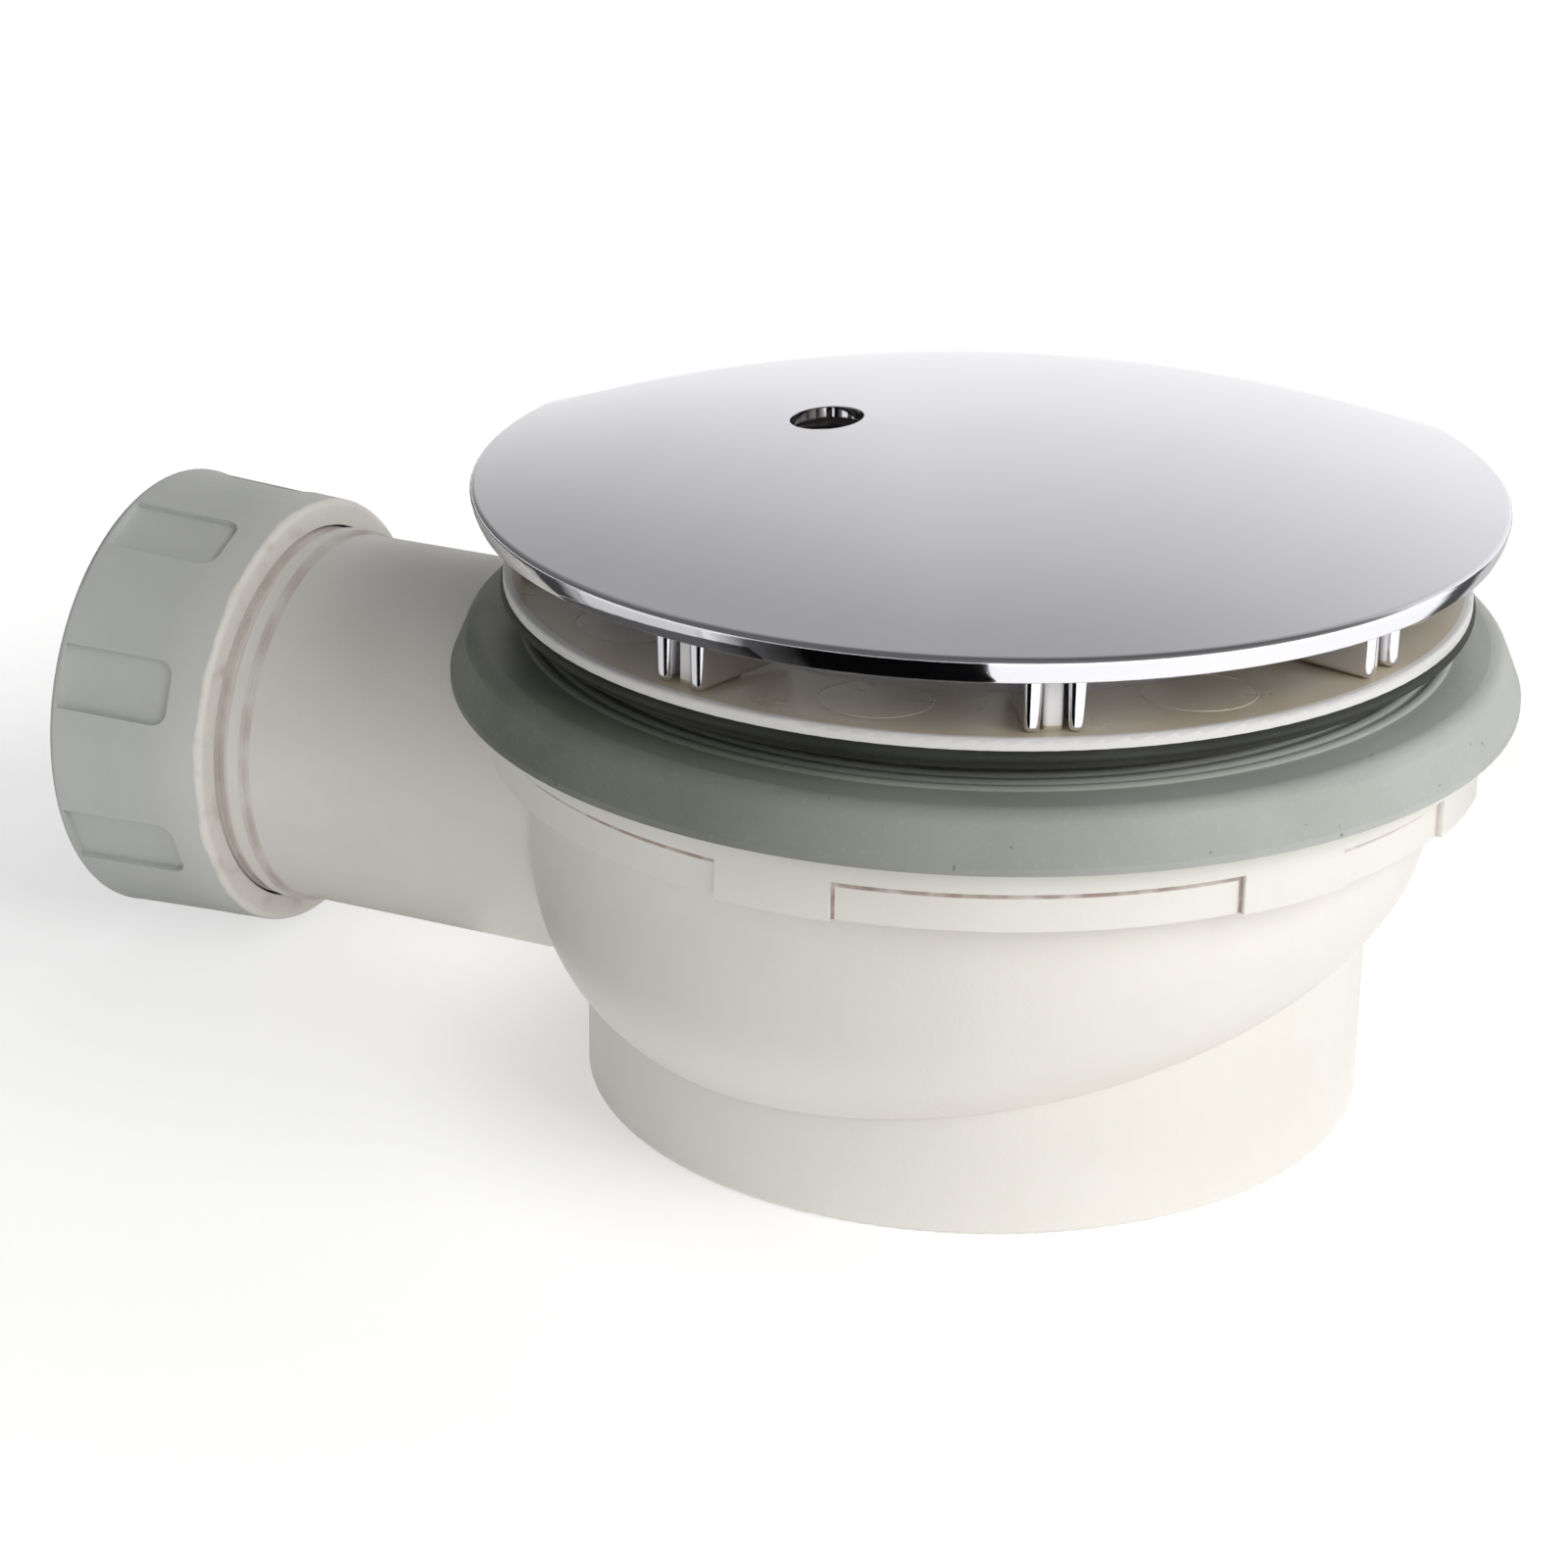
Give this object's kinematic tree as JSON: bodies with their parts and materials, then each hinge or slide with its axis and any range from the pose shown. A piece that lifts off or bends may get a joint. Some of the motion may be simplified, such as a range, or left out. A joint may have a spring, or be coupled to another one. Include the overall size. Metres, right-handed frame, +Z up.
{
  "type": "shower trap",
  "caption": "Low shower-tray trap with a domed chrome cover, dished flange, rubber tray gasket, round bowl on a cup base and a side outlet with a compression nut.",
  "frame": {"origin": "centre of the base cup's flat underside", "axes": "+Z up along the cover's axis, -X along the outlet towards the waste pipe, +Y to the back"},
  "size_m": [0.1689, 0.12, 0.0791],
  "materials": {
    "body_plastic": "moulded polypropylene, satin",
    "gasket_rubber": "green-grey rubber, dull",
    "flange_plastic": "white moulded plastic, slight sheen",
    "black_rubber": "black rubber",
    "chrome_plating": "polished chrome plating on plastic",
    "nut_plastic": "light grey moulded plastic"
  },
  "bodies": {
    "root": {"base_cup": "body_plastic", "trap_bowl": "body_plastic", "body_collar": "body_plastic", "tray_gasket": "gasket_rubber", "waste_flange": "flange_plastic", "flange_washer": "black_rubber", "dip_tube": "flange_plastic", "dip_tube_seal": "black_rubber", "dome_cover": "chrome_plating", "outlet_nut": "nut_plastic", "slip_ring": "flange_plastic", "cone_seal": "black_rubber"}
  },
  "joints": []
}
